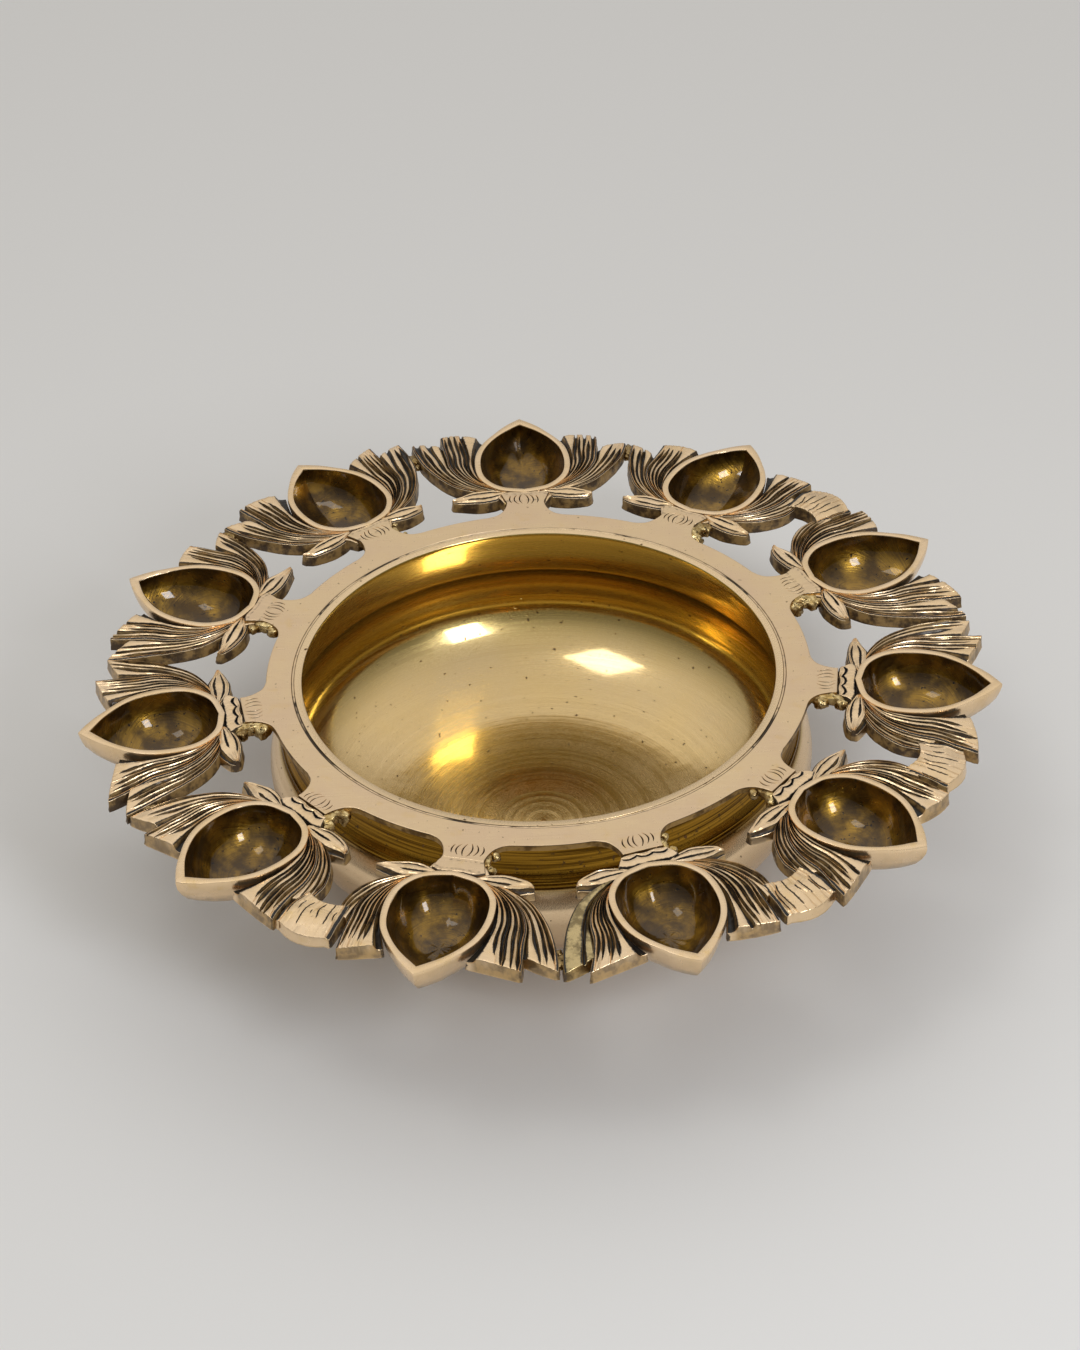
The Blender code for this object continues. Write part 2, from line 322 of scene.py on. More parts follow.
# What sets one casting apart from the next. `cup` is its cup's shift sideways. The tips are (sideways, out)
# for the inner and the outer petals on the clockwise (right) and the other side, with no outer tip where a
# bridge plate takes over. `bow` rounds the inner petals' ends. `marks` is how far out the lug's engraving
# sits, and `heap` the side and size of the braze left on the lug.
FIELDS = ("cup", "right", "left", "right_outer", "left_outer", "bow", "foot", "marks", "heap")
ROWS = (
    (0.0, (36.5, 187.0), (38.6, 192.0), (49.0, 181.0), (51.0, 187.5), (1.4, 2.4), FUSED, 132.6, (0, 0.0)),
    (1.0, (40.0, 188.5), (37.5, 185.5), None, (50.0, 180.0), (0.8, 1.8), FUSED, 130.6, (1, 1.2)),
    (0.0, (42.6, 192.6), (37.6, 189.6), (53.0, 187.6), None, (1.8, 1.2), FUSED, 129.0, (1, 1.25)),
    (-1.8, (44.0, 191.6), (39.6, 194.0), None, (50.0, 188.6), (1.6, 0.6), LOBED, 126.2, (1, 1.1)),
    (0.0, (43.0, 190.6), (36.6, 189.4), None, None, (0.4, 1.6), LOBED, 126.0, (1, 0.8)),
    (1.8, (44.0, 190.6), (36.8, 188.6), (52.0, 186.6), None, (0.0, 0.6), LOBED, 124.8, (-1, 0.6)),
    (1.6, (36.4, 191.4), (38.6, 189.4), None, (51.4, 185.4), (0.2, 0.0), FUSED, 125.4, (-1, 0.75)),
    (2.0, (37.6, 190.6), (41.0, 187.4), (50.0, 187.4), None, (0.0, 0.4), LOBED, 127.8, (-1, 1.1)),
    (0.0, (38.6, 192.0), (46.5, 193.6), (52.6, 185.4), (55.0, 187.0), (0.6, 0.4), LOBED, 126.2, (-1, 1.2)),
    (0.0, (36.0, 189.0), (41.6, 190.6), (50.0, 181.5), (54.0, 184.8), (1.0, 0.6), FUSED, 128.6, (-1, 0.9)),
    (2.0, (39.0, 196.0), (38.6, 189.6), (51.0, 191.0), (50.0, 182.0), (1.0, 2.2), FUSED, 131.8, (1, 0.5)),
)
CASTINGS = {lamp: dict(zip(FIELDS, row)) for lamp, row in enumerate(ROWS, 1)}
WORN_LAMP = 6                                  # its outer petal on the right lost its engraving


def cup_outline(grow, steps=46):
    """The teardrop, its corner pointing outwards, grown by a wall that is thicker at the point."""
    half = curve(CUP_HALF)
    side = []
    for step in range(steps + 1):
        x, y = half(step / steps)
        reach = math.hypot(x, y - CUP_CENTRE)
        scale = 1 + grow * (1 + 0.7 * smoothstep(186, 197.6, y)) / reach
        side.append((x * scale, CUP_CENTRE + (y - CUP_CENTRE) * scale))
    return side + [(-x, y) for x, y in reversed(side[1:-1])]


def cup(seed, aside):
    """Rim band, hollow and rounded underside of a lamp cup, a little aside from the casting's middle."""
    casting = Casting()
    outer, inner = cup_outline(CUP_WALL), cup_outline(0.0)
    hollow_depth = CUP_DEPTH - CUP_FLOOR

    def dome(outline, depth, stain, steps):
        for degrees in steps:
            angle = math.radians(degrees)
            yield outline, depth * math.sin(angle), math.cos(angle) ** 0.8, stain

    # rows of (outline, depth, scale, patina), from the underside up over the rim and down inside
    profile = list(dome(outer, CUP_DEPTH, 0.12, (88, 80, 70, 58, 46, 34, 22, 12, 5)))
    profile += [(outer, 0.55, 1.0, 0.08), (outer, 0.16, 0.994, 0.0), (outer, 0.0, 0.982, 0.0),
                (inner, 0.0, 1.022, 0.0), (inner, 0.14, 1.006, 0.0), (inner, 0.6, 0.998, HOLLOW)]
    profile += dome(inner, hollow_depth, HOLLOW, (4, 9, 15, 22, 30, 38, 46, 54, 62, 70, 77, 83, 87))
    rings = []
    for outline, depth, scale, stain in profile:
        ring = []
        for x, y in outline:
            if stain > 0.1:
                dent = 0.22 * wobble(x, y, depth * 1.5, 7.0, seed)
            else:
                dent = 0.1 * wobble(x, y, 0, 9.0, seed)
            k = scale * (1 + dent / 22)
            ring.append((x * k, CUP_CENTRE + (y - CUP_CENTRE) * k, TOP - depth + dent * 0.3))
        rings.append(casting.add(ring, stain))
    casting.skin(rings)
    pole_under = casting.add([(0, CUP_CENTRE, TOP - CUP_DEPTH)], 0.3)[0]
    pole_inside = casting.add([(0, CUP_CENTRE, TOP - hollow_depth)], HOLLOW)[0]
    count = len(outer)
    for i in range(count):
        j = (i + 1) % count
        casting.faces.append((rings[0][i], rings[0][j], pole_under))
        casting.faces.append((rings[-1][j], rings[-1][i], pole_inside))
    casting.verts = [(x + aside, y, z) for x, y, z in casting.verts]
    return casting


def row_of_grooves(rng, count, first, last, half, depth, run_out, hook):
    """Grooves spread between two places across a patch, each a little different."""
    grooves = []
    for index in range(count):
        centre = lerp(first, last, index / max(1, count - 1)) + rng.uniform(-0.12, 0.12) / count
        start = rng.uniform(-0.12, 0.04) if index % 2 == 0 else rng.uniform(0.10, 0.28)
        end = rng.uniform(0.93, 1.0) if rng.random() > run_out else rng.uniform(1.02, 1.15)
        grooves.append(Groove(centre, half * rng.uniform(0.78, 1.15), depth * rng.uniform(0.8, 1.15),
                              start, end, rng.uniform(0, 50), bulge=rng.uniform(-0.03, 0.03),
                              hook=hook * rng.uniform(0.8, 1.2)))
    return grooves


def petals(rng, tip, outer_tip, bow, aside, worn=False):
    """The two layers of petals on the right of a cup; no outer tip where a bridge plate takes over."""
    wall_line = ((6.0, 141.8), (14.5, 145.6), (20.4, 152.6), (22.8, 163.2), (21.8, 174.0), (19.4, 181.6),
                 (17.4, 186.4))
    cup_side = curve([(x + aside, y) for x, y in wall_line])
    border = curve([(8.4, 140.8), (20.0, 146.2), (29.4, 154.4), (34.6, 164.0),
                    (36.0 + 0.10 * (tip[0] - 38), 174.0), (lerp(36.6, tip[0], 0.5), 183.0), tip])

    def fall(s, t):
        """Petals dip towards their tips and towards the foot."""
        return -1.5 * smoothstep(0.45, 1.0, t) * (0.4 + 0.6 * s) - 0.5 * (1 - smoothstep(0.0, 0.2, t))

    lines = row_of_grooves(rng, 5, 0.25, 0.87, 0.058, 2.0, 0.40, 0.34)
    both = patch(cup_side, border, lines, TOP - 0.45, TOP - 8.4, crest=fall, valley=2.9, bow=bow)
    inset = [(9.0, 140.4), (19.4, 145.4), (28.8, 153.6), (34.0, 163.4)]
    edge = [(12.0, 139.8), (26.0, 145.0)]
    if outer_tip:
        rows = 46
        ox, oy = outer_tip
        inset += [(35.4, 172.6), (36.8, oy - 5.0)]
        edge += [(34.8, 150.7), (42.2, 160.0), (47.4, 169.4),
                 (lerp(50.0, ox + 1.4, 0.5), lerp(177.0, oy, 0.35)), (ox + 1.4, oy)]
    else:
        rows = 40
        inset += [(36.4, 174.0)]
        edge += [(34.5, 150.9), (40.6, 159.4), (42.4, 169.5)]
    lines = row_of_grooves(rng, 3, 0.32, 0.84, 0.095, 1.8, 0.4, 0.32)
    outer = patch(curve(inset), curve(edge), lines[:1] if worn else lines, TOP - 1.5, TOP - 8.0, rows=rows,
                  crest=lambda s, t: -1.2 * smoothstep(0.5, 1.0, t) * s, valley=2.0, bow=0.6)
    if worn:
        outer.patina = [value + WORN for value in outer.patina]
    both.join(outer)
    return both


def sepal(rng):
    """The leaf at the foot of the petals, with engraved veins that meet at its tip."""
    tip = (rng.uniform(30.5, 35.0), rng.uniform(136.4, 139.6))
    fat = rng.uniform(0.78, 1.05)
    low = curve([(8.4, 139.4), (14.4, 139.6 - 4.0 * fat), (22.0, 139.6 - 5.4 * fat),
                 mix((28.4, 135.4), tip, 0.3), tip])
    high = curve([(9.0, 142.4), (16.5, 144.2), (24.0, 144.4), mix((30.6, 142.6), tip, 0.35),
                  (tip[0] + 0.5, tip[1] + 1.8)])
    bend = rng.uniform(-0.05, 0.05)
    veins = [Groove(0.42 + bend, 0.050, 1.1, 0.02, rng.uniform(0.6, 0.9), rng.uniform(0, 9), bulge=-0.05),
             Groove(0.72 + bend, 0.042, 0.9, rng.uniform(0.0, 0.2), rng.uniform(0.75, 0.95),
                    rng.uniform(0, 9), bulge=0.08)]

    def fall(s, t):
        return -1.0 * smoothstep(0.3, 1.0, t) + 0.35 * wobble(s * 9, t * 26, 0, 6.0, tip[0])

    return patch(high, low, veins, TOP - 0.9, TOP - 8.0, rows=40, dome=0.9, valley=1.5, crest=fall)


def foot(rng, kind):
    """The cap between the cup and its lug."""
    near_cup = curve([(-13.4, 138.8), (-8.6, 140.2), (0.0, 139.4), (8.6, 140.2), (13.4, 138.8)])
    near_lug = curve([(-9.4, 132.0), (-4.6, 131.5), (0.0, 132.2), (4.6, 131.5), (9.4, 132.0)])
    if kind == FUSED:
        return patch(near_cup, near_lug, [], TOP - 1.2, TOP - 6.4, rows=30, valley=0.8)
    lobes = Groove(0.72, 0.060, 1.5, -0.02, 1.02, rng.uniform(0, 30), wave=(-0.17, 3))
    return patch(near_cup, near_lug, [lobes], TOP - 0.2, TOP - 6.4, rows=60, valley=1.8, dome=0.3)


def lotus(lamp):
    rng = random.Random(40 + lamp)
    made = CASTINGS[lamp]
    whole = cup(lamp * 1.7, made["cup"])
    right_bow, left_bow = made["bow"]
    worn = lamp == WORN_LAMP
    whole.join(petals(rng, made["right"], made["right_outer"], right_bow, made["cup"], worn))
    whole.join(petals(rng, made["left"], made["left_outer"], left_bow, -made["cup"]).mirror())
    whole.join(sepal(rng))
    whole.join(sepal(rng).mirror())
    whole.join(foot(rng, made["foot"]))
    return whole


# ---- bowl and collar

def lathe(profile, segments=288):
    """A closed (radius, height, patina) profile turned round the axis."""
    casting = Casting()
    rings = []
    angles = [2 * math.pi * k / segments for k in range(segments)]
    for radius, height, stain in profile:
        rings.append(casting.add([(*polar(angle, radius), height) for angle in angles], stain))
    casting.skin(rings + rings[:1])
    return casting


def quarter(centre_r, top, reach, drop, steps):
    angles = [math.pi / 2 * step / steps for step in range(steps + 1)]
    return [(centre_r + reach * math.cos(a), top - drop * math.sin(a)) for a in angles]


def bowl():
    """The turned casting, with its rim, flared neck, bead, belly and the rings left on the floor."""
    belly, base_r, wall_mm, floor = TOP - 41.6, 36.0, 3.0, 4.7
    shelf = TOP - 3.8
    bead = TOP - 27.6
    outside = [(RIM_OUTER_R, TOP - 0.15), (RIM_OUTER_R, shelf), (110.0, shelf)]
    neck = curve([(110.0, shelf - 0.01), (110.1, 82.0), (110.9, 76.0), (112.4, 70.5), (114.6, bead + 2.4)])
    outside += [neck(k / 24) for k in range(25)]
    outside += [(114.2, bead + 1.9), (114.3, bead + 1.6), (115.2, bead + 1.2), (115.45, bead + 0.5),
                (115.2, bead - 0.2), (114.5, bead - 0.5), (114.5, bead - 0.8), (115.3, bead - 1.1)]
    shoulder = curve([(115.9, bead - 1.6), (118.0, bead - 4.6), (120.1, bead - 8.6), (BELLY_R, belly)])
    outside += [shoulder(k / 10) for k in range(10)]
    outside += quarter(base_r, belly, BELLY_R - base_r, belly, 30)
    inner_r = base_r - 4.0
    inside = quarter(inner_r, belly, BELLY_R - wall_mm - inner_r, belly - floor, 36)
    rings = []
    for radius, wide, up in ((22.6, 1.6, 0.16), (18.6, 1.4, 0.13), (14.4, 1.4, 0.10), (9.0, 1.4, 0.08)):
        rings += [(radius, 0.0), (radius - 0.4, up), (radius - wide + 0.4, up), (radius - wide, 0.0)]
    floor_line = [(r, floor + 0.12 * up) for r, up in rings + [(2.2, 0.0), (1.8, 0.14), (0.9, 0.2)]]
    upper = curve([(118.0, belly), (117.6, 54.8), (115.9, 59.8), (113.4, 64.0), (111.9, TOP - 26.4)])
    neck_in = curve([(111.5, TOP - 25.6), (108.2, 76.0), (105.8, 84.0), (104.45, TOP - 3.4),
                     (104.0, TOP - 1.0)])
    inner = list(reversed(floor_line)) + list(reversed(inside[:-1]))
    inner += [upper(k / 12) for k in range(1, 13)] + [neck_in(k / 18) for k in range(19)]
    inner += [(104.05, TOP - 0.6), (104.35, TOP - 0.16), (104.7, TOP), (RIM_OUTER_R - 0.15, TOP)]
    profile = [(r, z, OUTSIDE) for r, z in outside + [(0.01, 0.0)]]
    return lathe(profile + [(r, z, 0.0) for r, z in [(0.01, floor + 0.2)] + inner])


def collar():
    """The flat ring with its lugs: outline extruded, edge rounded; the engraving is cut later."""
    collar_r, thick, bore = 120.0, 3.5, RIM_OUTER_R + 1.12
    flare = curve([(17.5, math.sqrt(collar_r ** 2 - 17.5 ** 2)), (13.6, 120.4), (11.0, 123.2), (9.4, 127.0),
                   (8.7, 131.2)])
    side = [flare(k / 9) for k in range(10)]
    lug = [(-x, y) for x, y in side] + side[::-1]
    reach = math.atan2(*side[0])
    outline = []
    for lamp in range(LAMPS):
        azimuth = lamp * PITCH
        for x, y in lug:
            angle, size = math.atan2(x, y) + azimuth, math.hypot(x, y)
            size += 0.25 * wobble(x * 3 + lamp * 31, y, 0, 8.0)
            outline.append(polar(angle, size))
        for step in range(1, 12):
            angle = azimuth + reach + (PITCH - 2 * reach) * step / 12
            outline.append(polar(angle, collar_r))
    outline.reverse()                                   # counter-clockwise
    count = len(outline)
    turns = [2 * math.pi * k / count + math.pi / 2 for k in range(count)]
    hole = [(bore * math.cos(turn), bore * math.sin(turn)) for turn in turns]
    first = min(range(count), key=lambda k: math.dist(outline[0], hole[k]))
    hole = hole[first:] + hole[:first]
    casting = Casting()
    normals = outward(outline)
    steps = ((-0.45, TOP), (-0.12, TOP - 0.14), (0.0, TOP - 0.55), (-0.1, TOP - thick + 0.5),
             (-0.7, TOP - thick))
    rings = [casting.add([(x + nx * grow, y + ny * grow, height)
                          for (x, y), (nx, ny) in zip(outline, normals)], 0.0) for grow, height in steps]
    inner = [casting.add([(x * k, y * k, height) for x, y in hole], 0.0)
             for k, height in ((1.0, TOP - thick), (1.0, TOP - 0.3), (1.0025, TOP))]
    casting.skin(rings + inner + rings[:1])
    return casting


# ---- braze and bridge plates

def lump(half, centre, seed, turn=0.0, rough=0.35):
    """A rough rounded lump: a box of the given half sizes swollen into an ellipsoid with noise."""
    casting = Casting()
    across, around = 14, 26
    rings = []
    c, s = math.cos(turn), math.sin(turn)
    for i in range(1, across):
        phi = math.pi * i / across - math.pi / 2
        ring = []
        for j in range(around):
            theta = 2 * math.pi * j / around
            ux, uy = math.cos(theta) * math.cos(phi), math.sin(theta) * math.cos(phi)
            uz = math.sin(phi)
            square = 1 / max(abs(ux), abs(uy), abs(uz)) ** 0.45
            x, y, z = half[0] * ux * square, half[1] * uy * square, half[2] * uz * square
            swell = 1 + rough * wobble(x, y, z, 2.4, seed) + 0.4 * rough * wobble(x, y, z, 0.9, seed)
            x, y, z = x * swell, y * swell, z * swell
            ring.append((centre[0] + x * c - y * s, centre[1] + x * s + y * c, centre[2] + z))
        rings.append(casting.add(ring, 0.0))
    casting.skin(rings)
    for ring, flip in ((rings[0], True), (rings[-1], False)):
        middle = [sum(casting.verts[i][axis] for i in ring) / around for axis in range(3)]
        middle[2] += (-0.12 if flip else 0.12) * half[2]
        pole = casting.add([tuple(middle)], 0.0)[0]
        for j in range(around):
            pair = (ring[j], ring[(j + 1) % around])
            casting.faces.append((pair[1], pair[0], pole) if flip else (*pair, pole))
    return casting


def lug_plate():
    """Filler wiped from the lug over the foot and filed flush with both."""
    near_cup = curve([(-11.0, 138.0), (-7.6, 139.4), (0.0, 138.9), (7.6, 139.4), (11.0, 138.0)])
    near_lug = curve([(-8.5, 130.6), (0.0, 130.6), (8.5, 130.6)])
    return patch(near_cup, near_lug, [], TOP - 0.02, TOP - 3.4, rows=40, dome=0.0)


def lug_braze(lamp):
    """What was left of the rod: a bead under the joint, and the heap that ran down one side of the lug."""
    side, size = CASTINGS[lamp]["heap"]
    bead = lump((8.4, 1.1, 2.3), (0, 132.3, TOP - 3.6), lamp * 2.3, rough=0.16)
    if not side:
        bead.join(lump((1.2, 1.6, 1.4), (-9.0, 132.4, TOP - 2.4), lamp * 5.1, rough=0.5))
        return bead
    tall = 2.5 * size
    # (half sizes across and along, share of the height), (sideways, out, depth), seed, turn, roughness
    lumps = (((2.3, 5.4, 1.0), (9.8, 128.6, 0.4), 5.1, -0.12, 0.26),
             ((2.5, 3.2, 1.0), (11.8, 124.0, 0.8), 7.7, -0.7, 0.34),
             ((2.8, 2.4, 0.9), (12.4, 133.2, 0.8), 6.1, 0.5, 0.34))
    for (across, along, share), (x, y, drop), seed, turn, rough in lumps:
        bead.join(lump((across * size, along * size, tall * share), (side * x, y, TOP - drop - tall),
                       lamp * seed, turn=side * turn, rough=rough))
    return bead


def petal_braze(seed):
    bead = lump((2.2, 3.8, 1.8), (0, 185.2, TOP - 5.6), seed, rough=0.3)
    bead.join(lump((1.6, 1.7, 1.4), (0.4, 180.2, TOP - 6.0), seed + 4, rough=0.45))
    bead.patina = [0.75] * len(bead.verts)
    return bead


def bridge_plate(seed):
    """The engraved plate between two lamps, arched towards the bowl."""
    rng = random.Random(seed)
    left = curve([(-9.8, 169.6), (-11.0, 176.0), (-12.0, 183.0), (-12.7, 190.0)])
    right = curve([(9.8, 169.6), (11.0, 176.0), (12.0, 183.0), (12.7, 190.0)])
    lines = [Groove(0.10 + 0.133 * i + rng.uniform(-0.03, 0.03), rng.uniform(0.008, 0.014), 0.5,
                    rng.uniform(-0.1, 0.4), rng.uniform(0.6, 0.95), rng.uniform(0, 30),
                    bulge=rng.uniform(0.02, 0.09)) for i in range(7)]

    def fall(s, t):
        return -1.6 * smoothstep(0.6, 1.0, t) + 0.4 * wobble(s * 22, t * 20, seed, 9.0)

    plate = patch(left, right, lines, TOP - 1.2, TOP - 8.2, rows=40, dome=0.8, crest=fall)
    arched = []
    for x, y, z in plate.verts:
        near = 1 - smoothstep(169.0, 184.0, y)
        far = smoothstep(178.0, 190.0, y)
        rise = (1 - min(1.0, abs(x) / 11.0) ** 2)
        arched.append((x, y + near * rise * 4.6 + far * rise * 3.4, z))
    plate.verts = arched
    return plate


def seam_fill():
    """Filler in the seam between rim and collar: flush in places, sunk or gone in others."""
    casting = Casting()
    inner, outer = RIM_OUTER_R + 0.12, RIM_OUTER_R + 1.0
    segments = 720
    rings = []
    for radius, lift in ((inner, -2.4), (inner, -0.12), (inner + 0.15, 0.0), (outer - 0.15, 0.0),
                         (outer, -0.12), (outer, -2.4)):
        ring = []
        for k in range(segments):
            x, y = polar(2 * math.pi * k / segments, radius)
            sink = 0.04 + 0.30 * smoothstep(0.0, 0.6, wobble(x, y, 0, 26.0, 2.0))
            sink += 0.22 * max(0.0, wobble(x, y, 0, 2.5, 8.0))
            ring.append((x, y, TOP + lift - (sink if lift > -1 else 0.0)))
        rings.append(casting.add(ring, 0.5))
    casting.skin(rings + rings[:1])
    return casting


# ---- materials

RAMP_SOCKETS = ("From Min", "From Max", "To Min", "To Max")


class Value:
    """A node's output; sums, differences and products of it make maths nodes."""

    def __init__(self, nodes, socket):
        self.nodes, self.socket = nodes, socket

    def __add__(self, other):
        return self.nodes.math("ADD", self, other)

    def __radd__(self, other):
        return self.nodes.math("ADD", other, self)

    def __sub__(self, other):
        return self.nodes.math("SUBTRACT", self, other)

    def __rsub__(self, other):
        return self.nodes.math("SUBTRACT", other, self)

    def __mul__(self, other):
        return self.nodes.math("MULTIPLY", self, other)


class Nodes:
    """A short way to write the node tree of a metal."""

    def __init__(self, name):
        self.material = bpy.data.materials.new(name)
        self.material.use_nodes = True
        self.tree = self.material.node_tree
        self.shader = self.tree.nodes["Principled BSDF"]
        self.shader.inputs["Metallic"].default_value = 1.0
        self.position = self.make("ShaderNodeTexCoord", "Object", {})

    def make(self, kind, output, inputs, **settings):
        """Add a node, fill its inputs by name or number, and return one of its outputs."""
        node = self.tree.nodes.new(kind)
        for key, value in settings.items():
            setattr(node, key, value)
        for key, value in inputs.items():
            self.feed(node.inputs[key], value)
        return Value(self, node.outputs[output])

    def feed(self, socket, value):
        if isinstance(value, Value):
            self.tree.links.new(value.socket, socket)
        else:
            socket.default_value = value

    def noise(self, scale, detail=3.0, rough=0.55, vector=None, stretch=None):
        source = vector or self.position
        if stretch:
            size, turn = stretch
            source = self.make("ShaderNodeMapping", 0,
                               {"Vector": source, "Scale": size, "Rotation": (0.0, 0.0, turn)})
        return self.make("ShaderNodeTexNoise", "Fac",
                         {"Vector": source, "Scale": scale, "Detail": detail, "Roughness": rough})

    def ramp(self, value, low, high, out_low=0.0, out_high=1.0):
        inputs = dict(zip(RAMP_SOCKETS, (low, high, out_low, out_high)), Value=value)
        return self.make("ShaderNodeMapRange", "Result", inputs, interpolation_type="SMOOTHSTEP")

    def math(self, operation, a, b=0.0):
        return self.make("ShaderNodeMath", 0, {0: a, 1: b}, operation=operation)

    def blend(self, factor, a, b):
        a, b = ((*colour, 1.0) if isinstance(colour, tuple) else colour for colour in (a, b))
        return self.make("ShaderNodeMix", 2, {0: factor, 6: a, 7: b}, data_type="RGBA")

    def attribute(self, name):
        return self.make("ShaderNodeAttribute", "Fac", {}, attribute_name=name)

    def combine(self, *values):
        return self.make("ShaderNodeCombineXYZ", 0, dict(enumerate(values)))

    def axis(self, index, vector=None):
        return self.make("ShaderNodeSeparateXYZ", index, {0: vector or self.position})

    def from_top(self, low, high):
        """Rises from 0 to 1 between two depths in mm below the filed plane."""
        return self.ramp(self.axis(2), (TOP - low) * MM, (TOP - high) * MM)

    def bump(self, *layers):
        """Stacked bumps: (height, strength, distance in metres)."""
        normal = None
        for height, strength, distance in layers:
            inputs = {"Height": height, "Strength": strength, "Distance": distance}
            if normal:
                inputs["Normal"] = normal
            normal = self.make("ShaderNodeBump", 0, inputs)
        self.feed(self.shader.inputs["Normal"], normal)

    def finish(self, colour, roughness, metallic=None):
        self.feed(self.shader.inputs["Base Color"], colour)
        self.feed(self.shader.inputs["Roughness"], roughness)
        if metallic is not None:
            self.feed(self.shader.inputs["Metallic"], metallic)
        return self.material


GOLD = (0.80, 0.55, 0.20)
PALE = (0.84, 0.63, 0.38)
PINK = (0.80, 0.59, 0.38)
UMBER = (0.16, 0.085, 0.025)
SOOT = (0.018, 0.014, 0.012)


def ring_vector(nodes):
    """A coordinate that changes with radius and height, so that noise on it makes turned rings."""
    x, y, z = (nodes.axis(index) for index in range(3))
    return nodes.combine(nodes.math("SQRT", x * x + y * y), x * 0.012, z)


def scratches(nodes):
    """Fine file marks that run in two directions, as a height in 0..1."""
    one = nodes.noise(60.0, 2.0, stretch=((1.0, 28.0, 1.0), 0.5))
    two = nodes.noise(75.0, 2.0, stretch=((24.0, 1.0, 1.0), 0.15))
    return one * 0.6 + two * 0.4


def bowl_brass():
    """Turned brass: bright and hazy inside, with painted shade that darkens the walls going up; painted
    dark brown under the rim as shade and dark reflection, with lathe lines; satin on the belly.
    """
    nodes = Nodes("bowl_turned_brass")
    rings = ring_vector(nodes)
    fine = nodes.noise(1500.0, 2.0, vector=rings)
    coarse = nodes.noise(260.0, 3.0, vector=rings)
    cloud = nodes.noise(24.0, 4.0)
    inside = nodes.math("LESS_THAN", nodes.attribute("patina"), OUTSIDE / 2)
    pits = nodes.ramp(nodes.noise(420.0, 1.0), 0.735, 0.77)
    neck = nodes.from_top(31, 28)
    neck_out = (1.0 - inside) * neck
    belly_out = (1.0 - inside) * (1.0 - neck)
    rim = inside * nodes.from_top(0.35, 0.1)
    colour = nodes.blend(nodes.ramp(cloud, 0.3, 0.7), (0.80, 0.575, 0.265), (0.78, 0.575, 0.30))
    # painted shade: from 20 mm up the walls are painted a darker, browner tone, standing in for the dark
    # reflections of the other walls; the floor keeps the bright tone
    painted_wall_shade = nodes.ramp(nodes.axis(2), 20 * MM, 48 * MM)
    colour = nodes.blend(painted_wall_shade, colour, (0.60, 0.44, 0.115))
    # painted shade: the outside of the neck is painted dark brown, standing in for the shade under the
    # collar and the dark reflection it catches; the lathe lines and stains in it are real
    lathe_lines = nodes.ramp(nodes.noise(900.0, 4.0, 0.7, vector=rings), 0.36, 0.62)
    turned = nodes.blend(lathe_lines, (0.075, 0.033, 0.003), (0.33, 0.17, 0.018))
    stains = nodes.ramp(nodes.noise(300.0, 4.0, 0.7), 0.60, 0.68)
    turned = nodes.blend(stains, turned, (0.07, 0.04, 0.015))
    colour = nodes.blend(neck_out, colour, turned)
    colour = nodes.blend(belly_out * 0.9, colour, PINK)
    colour = nodes.blend(rim, colour, PALE)
    colour = nodes.blend(pits, colour, (0.12, 0.06, 0.02))
    haze = (nodes.ramp(nodes.noise(5200.0, 1.0), 0.49, 0.60, 0.0, 0.28)
            * nodes.ramp(nodes.noise(700.0, 2.0, vector=rings), 0.38, 0.62, 0.55, 1.0))
    rough = nodes.ramp(coarse, 0.3, 0.7, 0.055, 0.095) + haze + nodes.ramp(cloud, 0.4, 0.75) * 0.05
    rough = rough + neck_out * 0.12 + (belly_out + rim) * 0.14
    nodes.bump((fine, 0.06, 0.00012), (coarse, 0.06, 0.0004), (cloud, 0.10, 0.0012),
               (1.0 - pits, 0.5, 0.0003))
    nodes.shader.inputs["Anisotropic"].default_value = 0.3
    return nodes.finish(colour, rough)


def filed_brass(name):
    """Satin brass filed flat, with dark engraving and brown sides below the filed plane."""
    nodes = Nodes(name)
    marks = scratches(nodes)
    cloud = nodes.noise(38.0, 4.0)
    grain = nodes.noise(900.0, 3.0)
    blotch = nodes.noise(150.0, 3.0)
    tone = nodes.blend(nodes.ramp(cloud, 0.35, 0.68), PALE, PINK)
    tone = nodes.blend(nodes.ramp(blotch, 0.55, 0.8, 0.0, 0.35), tone, GOLD)
    specks = nodes.ramp(nodes.noise(480.0, 1.0), 0.74, 0.78, 0.0, 0.7)
    tone = nodes.blend(specks, tone, (0.25, 0.16, 0.08))
    below = 1.0 - nodes.from_top(0.30, 0.10)
    facing = nodes.make("ShaderNodeNewGeometry", "True Normal", {})
    sloped = nodes.ramp(nodes.axis(2, facing), 0.15, 0.40)
    brown = nodes.blend(nodes.ramp(blotch, 0.42, 0.62), (0.40, 0.25, 0.09), (0.15, 0.085, 0.03))
    colour = nodes.blend(below, tone, nodes.blend(sloped, brown, (0.06, 0.04, 0.022)))
    rough = nodes.ramp(marks, 0.3, 0.7, 0.26, 0.46) + below * 0.14
    nodes.bump((marks, 0.42, 0.00022), (grain, 0.14, 0.00025), (blotch, 0.14, 0.0008))
    return nodes.finish(colour, rough, 1.0 - below * sloped * 0.5)


